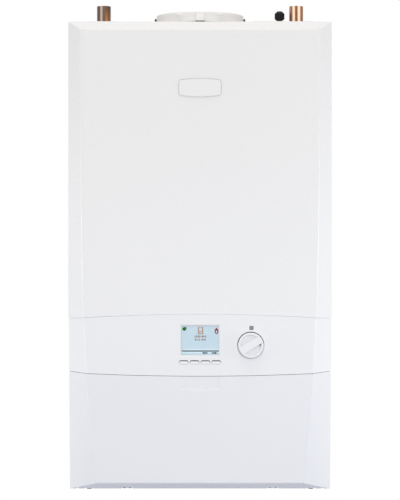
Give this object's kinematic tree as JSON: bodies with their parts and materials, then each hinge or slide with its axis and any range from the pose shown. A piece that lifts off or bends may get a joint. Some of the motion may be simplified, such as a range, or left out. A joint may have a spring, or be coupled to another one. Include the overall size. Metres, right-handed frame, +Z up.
{
  "type": "wall-hung heat-only gas boiler",
  "caption": "White wall-hung gas boiler with bevelled casing, display and knob fascia, drop-down lower door, top flue collar and copper flow and return pipes.",
  "frame": {"origin": "middle of the two wall fixing holes, on the wall plane at the rear face of the wall bracket", "axes": "+Z up, +Y from the front towards the wall, +X to the viewer's right when facing the boiler"},
  "size_m": [0.395, 0.2855, 0.7574],
  "materials": {
    "white_enamel": "satin",
    "galvanised_steel": "satin",
    "white_plastic": "satin",
    "blank_badge": "gloss",
    "grey_plastic": "satin",
    "black_plastic": "satin",
    "black_steel": "satin",
    "clear_window": "gloss",
    "circuit_board": "satin",
    "black_rubber": "matte",
    "cast_aluminium": "matte",
    "stainless_steel": "satin",
    "ceramic_white": "satin",
    "copper": "satin",
    "brass": "satin"
  },
  "bodies": {
    "casing": {"air_vent": "brass", "back_panel": "galvanised_steel", "badge_plate": "blank_badge", "board_components": "black_plastic", "bottom_panel": "galvanised_steel", "burner": "stainless_steel", "burner_door": "cast_aluminium", "burner_door_nuts": "galvanised_steel", "cable_gland": "black_plastic", "casing_screws": "black_steel", "chamber_cover": "galvanised_steel", "chamber_floor": "galvanised_steel", "chamber_seal": "black_rubber", "chassis_brackets": "galvanised_steel", "circuit_boards": "circuit_board", "condensate_pipe": "grey_plastic", "condensate_trap": "grey_plastic", "control_box": "grey_plastic", "control_fascia": "white_plastic", "display_module": "black_plastic", "display_window": "clear_window", "door_catches": "black_steel", "electrodes": "ceramic_white", "exchanger_coil": "stainless_steel", "exhaust_riser": "white_plastic", "fan_housing": "grey_plastic", "fan_motor": "black_steel", "flow_pipe": "copper", "flue_collar": "white_plastic", "front_panel": "white_enamel", "gas_cock": "brass", "gas_pipe": "copper", "gas_valve": "cast_aluminium", "heat_exchanger": "cast_aluminium", "hinge_brackets": "galvanised_steel", "hinge_pins": "galvanised_steel", "knob_ring": "grey_plastic", "left_side_panel": "white_enamel", "mixture_duct": "grey_plastic", "pipe_sealing_plates": "white_enamel", "return_pipe": "copper", "right_side_panel": "white_enamel", "rotary_encoder": "grey_plastic", "rubber_seals": "black_rubber", "spark_generator": "grey_plastic", "thermistors": "brass", "top_panel": "white_enamel", "union_nuts": "brass", "venturi": "grey_plastic", "wall_bracket": "galvanised_steel"},
    "door": {"lower_door": "white_plastic", "door_strikes": "galvanised_steel"},
    "knob": {"temperature_knob": "white_plastic"},
    "button_1": {"menu_button_1": "white_plastic"},
    "button_2": {"menu_button_2": "white_plastic"},
    "button_3": {"menu_button_3": "white_plastic"},
    "button_4": {"menu_button_4": "white_plastic"},
    "fan_rotor": {"fan_impeller": "cast_aluminium"},
    "vent_cap": {"air_vent_cap": "black_plastic"},
    "gas_lever": {"gas_cock_lever": "black_plastic"}
  },
  "joints": [
    {"name": "door_hinge", "type": "hinge", "parent": "casing", "child": "door", "pos_m": [0, -0.243, -0.6352], "axis": [1, 0, 0], "range_deg": [0, 95]},
    {"name": "knob_turn", "type": "hinge", "parent": "casing", "child": "knob", "pos_m": [0.0751, -0.278, -0.4234], "axis": [0, 1, 0], "range_deg": [-194, 76]},
    {"name": "button_press_1", "type": "slide", "parent": "casing", "child": "button_1", "axis": [0, 1, 0], "range_m": [0, 0.001], "stiffness_N_per_m": 600},
    {"name": "button_press_2", "type": "slide", "parent": "casing", "child": "button_2", "axis": [0, 1, 0], "range_m": [0, 0.001], "stiffness_N_per_m": 600},
    {"name": "button_press_3", "type": "slide", "parent": "casing", "child": "button_3", "axis": [0, 1, 0], "range_m": [0, 0.001], "stiffness_N_per_m": 600},
    {"name": "button_press_4", "type": "slide", "parent": "casing", "child": "button_4", "axis": [0, 1, 0], "range_m": [0, 0.001], "stiffness_N_per_m": 600},
    {"name": "fan_spin", "type": "hinge", "parent": "casing", "child": "fan_rotor", "pos_m": [-0.12, -0.2, -0.295], "axis": [0, 1, 0], "continuous": true},
    {"name": "vent_cap_turn", "type": "hinge", "parent": "casing", "child": "vent_cap", "pos_m": [0.1262, -0.075, 0.086], "axis": [0, 0, 1], "range_deg": [0, 360]},
    {"name": "gas_lever_turn", "type": "hinge", "parent": "casing", "child": "gas_lever", "pos_m": [0.1, -0.165, -0.604], "axis": [0, 1, 0], "range_deg": [0, 90]}
  ]
}
